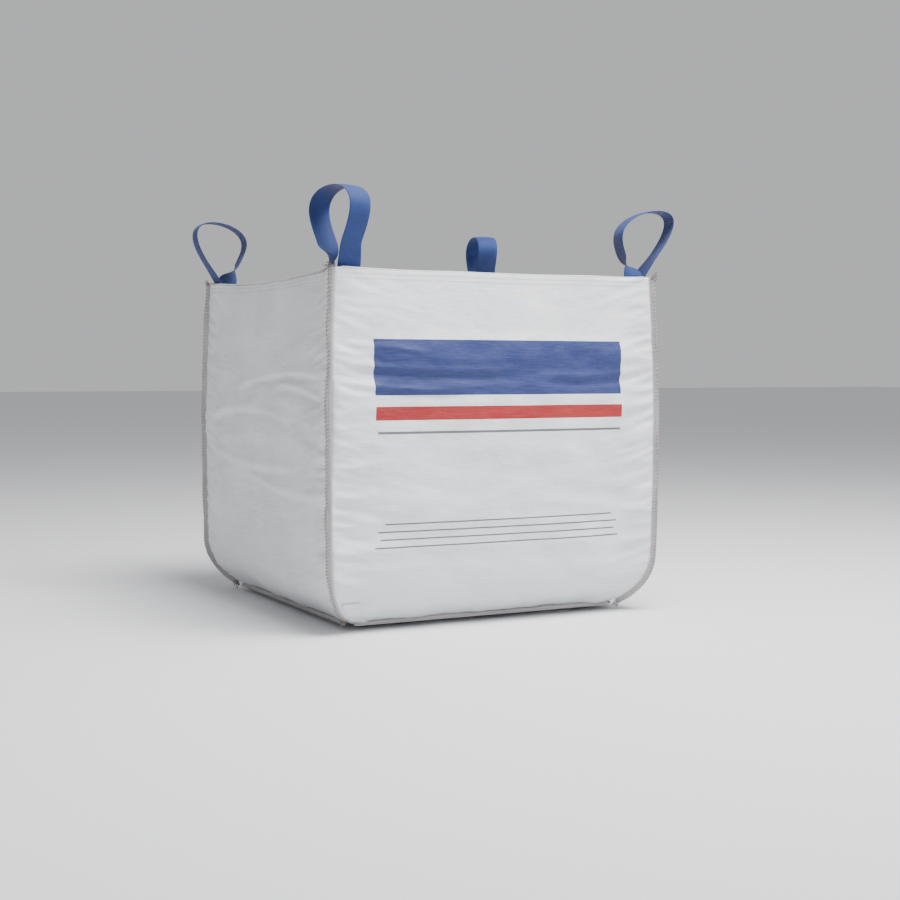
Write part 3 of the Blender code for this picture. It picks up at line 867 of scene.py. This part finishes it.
def make_studio():
    scene = bpy.context.scene
    floor = bpy.data.meshes.new("floor")
    floor.from_pydata([(-30, -30, 0), (30, -30, 0), (30, 30, 0), (-30, 30, 0)], [], [(0, 1, 2, 3)])
    made, _, _ = node_material("studio_floor", (0.74, 0.745, 0.76), 0.9, specular=0.1)
    floor.materials.append(made)
    ground = bpy.data.objects.new("studio_floor", floor)
    scene.collection.objects.link(ground)
    world = bpy.data.worlds.new("studio")
    scene.world = world
    world.use_nodes = True
    world.node_tree.nodes["Background"].inputs["Color"].default_value = (0.97, 0.98, 1.0, 1)
    world.node_tree.nodes["Background"].inputs["Strength"].default_value = 0.55
    for name, place, target, size, power in (
        ("overhead", (0.5, -1.5, 4.0), (0, 0, 0.4), 2.2, 400),
        ("front_fill", (2.6, -4.0, 3.0), (0, 0, 0.6), 1.6, 60),
    ):
        light = bpy.data.lights.new(name, "AREA")
        light.shape = "SQUARE"
        light.size = size
        light.energy = power
        lamp = bpy.data.objects.new(name, light)
        lamp.location = place
        lamp.rotation_euler = (Vector(target) - Vector(place)).to_track_quat("-Z", "Y").to_euler()
        scene.collection.objects.link(lamp)


def make_camera():
    camera = bpy.data.cameras.new("camera")
    camera.lens = 60.1
    camera.sensor_width = 36.0
    holder = bpy.data.objects.new("camera", camera)
    bpy.context.scene.collection.objects.link(holder)
    yaw, pitch, roll = math.radians(27.53), math.radians(-3.30), math.radians(0.17)
    tilt = Matrix.Rotation(math.pi / 2 + pitch, 4, "X") @ Matrix.Rotation(roll, 4, "Z")
    turn = Matrix.Rotation(-yaw, 4, "Z") @ tilt
    holder.matrix_world = Matrix.Translation((-1.846, -3.723, 0.654)) @ turn
    bpy.context.scene.camera = holder


BLUE_INK = (0.006, 0.020, 0.135)
RED_INK = (0.330, 0.004, 0.005)
GREY_INK = (0.120, 0.125, 0.150)
# Each printed band as (colour, x middle, x half, z middle, z half)
PRINTS = [
    (BLUE_INK, 0.0, 0.350, 0.6445, 0.0675),
    (RED_INK, 0.0, 0.350, 0.5335, 0.0165),
    (GREY_INK, 0.0, 0.345, 0.487, 0.0030),
    (GREY_INK, 0.0, 0.325, 0.267, 0.0018),
    (GREY_INK, 0.0, 0.342, 0.248, 0.0018),
    (GREY_INK, 0.0, 0.335, 0.229, 0.0018),
    (GREY_INK, 0.0, 0.350, 0.210, 0.0018),
]


def main():
    make_camera()
    make_studio()
    fabric = woven_fabric("woven_fabric")
    printed = woven_fabric("printed_fabric", PRINTS)
    seam = woven_fabric("seam_fabric", dark=(0.36, 0.34, 0.35), pale=(0.52, 0.50, 0.51))
    webbing = webbing_material()
    brown = thread_material("brown_thread", (0.16, 0.12, 0.085))
    grey = thread_material("hem_thread", (0.36, 0.33, 0.29))
    pale = thread_material("pale_thread", (0.62, 0.62, 0.60))
    for side_index, side in enumerate(SIDES):
        wall = make_wall(side_index, printed if side == "front" else fabric)
        make_hem(side_index, wall, fabric, grey)
        make_base_seam(side_index, seam, grey)
        if side == "front":
            make_patch(wall, fabric)
    for corner_index in range(4):
        make_corner_seam(corner_index, seam, brown)
        make_loop(corner_index, webbing, pale)
    make_base(fabric)
    make_sand(sand_material())


main()
